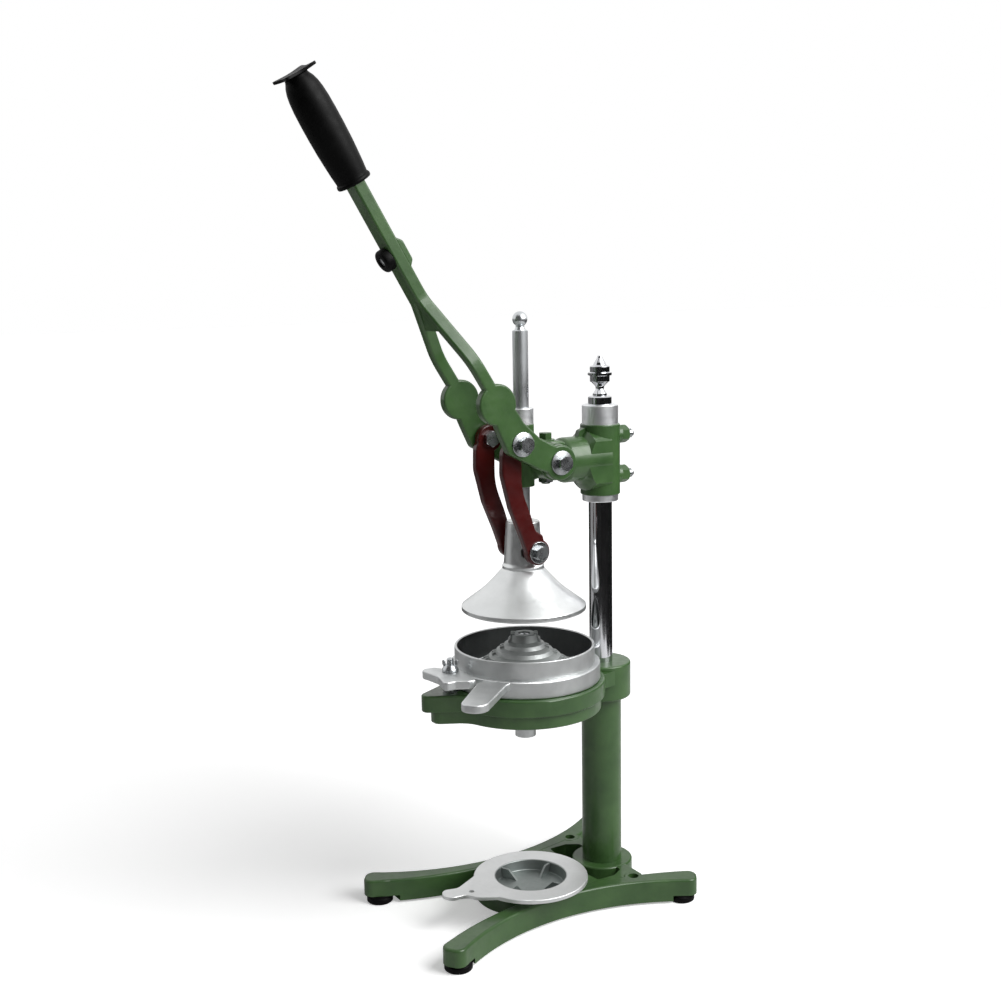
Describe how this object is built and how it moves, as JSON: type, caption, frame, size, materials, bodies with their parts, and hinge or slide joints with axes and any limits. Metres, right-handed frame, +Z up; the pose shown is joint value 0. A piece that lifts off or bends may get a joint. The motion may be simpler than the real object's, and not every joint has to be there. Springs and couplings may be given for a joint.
{
  "type": "lever citrus juice press",
  "caption": "Free-standing press on a column: a long lever and links push a cone onto a reamer in a pan with a spout.",
  "frame": {"origin": "on the floor under the middle of the overall box", "axes": "+Z up along the column, +X to the right of an operator who stands on the -Y side and looks along +Y"},
  "size_m": [0.1829, 0.3582, 0.7595],
  "materials": {
    "green_enamel": "gloss hammer-free enamel on a casting",
    "red_enamel": "gloss enamel on flat steel",
    "chrome_plate": "polished chrome plate",
    "zinc_plate": "bright zinc plate",
    "turned_aluminium": "turned",
    "cast_aluminium": "tumbled casting",
    "pale_aluminium": "smooth casting",
    "black_rubber": "moulded"
  },
  "bodies": {
    "root": {"base_casting": "green_enamel", "rubber_feet": "black_rubber", "foot_screws": "zinc_plate", "column_rod": "chrome_plate", "column_nut": "zinc_plate", "column_finial": "chrome_plate", "spacer_tube": "green_enamel", "table_casting": "green_enamel", "head_casting": "green_enamel", "lower_bush": "turned_aluminium", "upper_collar": "turned_aluminium", "head_lock_screws": "zinc_plate", "head_lock_nuts": "green_enamel", "rod_bush": "turned_aluminium", "head_bolt": "green_enamel", "head_bolt_nut": "zinc_plate", "fulcrum_bolts": "zinc_plate", "latch_stud": "zinc_plate", "latch_spacer": "zinc_plate"},
    "lever": {"lever_yoke": "green_enamel", "hand_grip": "black_rubber", "grip_end_cap": "black_rubber", "lever_bumper": "black_rubber", "bumper_screw": "zinc_plate", "link_top_bolts": "zinc_plate", "link_top_nuts": "zinc_plate"},
    "links": {"link_right": "red_enamel", "link_left": "red_enamel", "link_foot_bolts": "zinc_plate", "link_foot_washers": "zinc_plate"},
    "press": {"guide_rod": "chrome_plate", "rod_ball_knob": "chrome_plate", "press_cone": "pale_aluminium"},
    "pan": {"juice_pan": "cast_aluminium", "spout_funnel": "cast_aluminium", "spout_tube": "cast_aluminium", "strainer_bowl": "cast_aluminium", "reamer_cone": "cast_aluminium", "reamer_screw": "zinc_plate"},
    "latch": {"latch_lever": "cast_aluminium"},
    "wing": {"wing_nut": "zinc_plate"},
    "spare": {"spare_strainer_plate": "cast_aluminium"}
  },
  "joints": [
    {"name": "lever_swing", "type": "hinge", "parent": "root", "child": "lever", "pos_m": [0, 0.05868, 0.4251], "axis": [1, 0, 0], "range_deg": [0, 72]},
    {"name": "link_swing", "type": "hinge", "parent": "lever", "child": "links", "pos_m": [0, 0.01847, 0.44462], "axis": [1, 0, 0], "range_deg": [-74.74, 0]},
    {"name": "press_slide", "type": "slide", "parent": "root", "child": "press", "axis": [0, 0, -1], "range_m": [0, 0.05152]},
    {"name": "pan_lift", "type": "slide", "parent": "root", "child": "pan", "axis": [0, 0, -1], "range_m": [-0.03, 0]},
    {"name": "latch_swivel", "type": "hinge", "parent": "root", "child": "latch", "pos_m": [-0.0015, -0.03822, 0.2319], "axis": [0, 0, 1], "range_deg": [-45, 0]},
    {"name": "wing_nut_turn", "type": "hinge", "parent": "root", "child": "wing", "pos_m": [-0.0015, -0.03822, 0.24], "axis": [0, 0, 1], "continuous": true},
    {"name": "spare_plate_lift", "type": "slide", "parent": "root", "child": "spare", "axis": [0, 0, 1], "range_m": [0, 0.06]}
  ],
  "couplings": [
    {"joint": "link_swing", "follows": "lever_swing", "ratio": -1.038},
    {"joint": "press_slide", "follows": "lever_swing", "m_per_rad": 0.041}
  ]
}
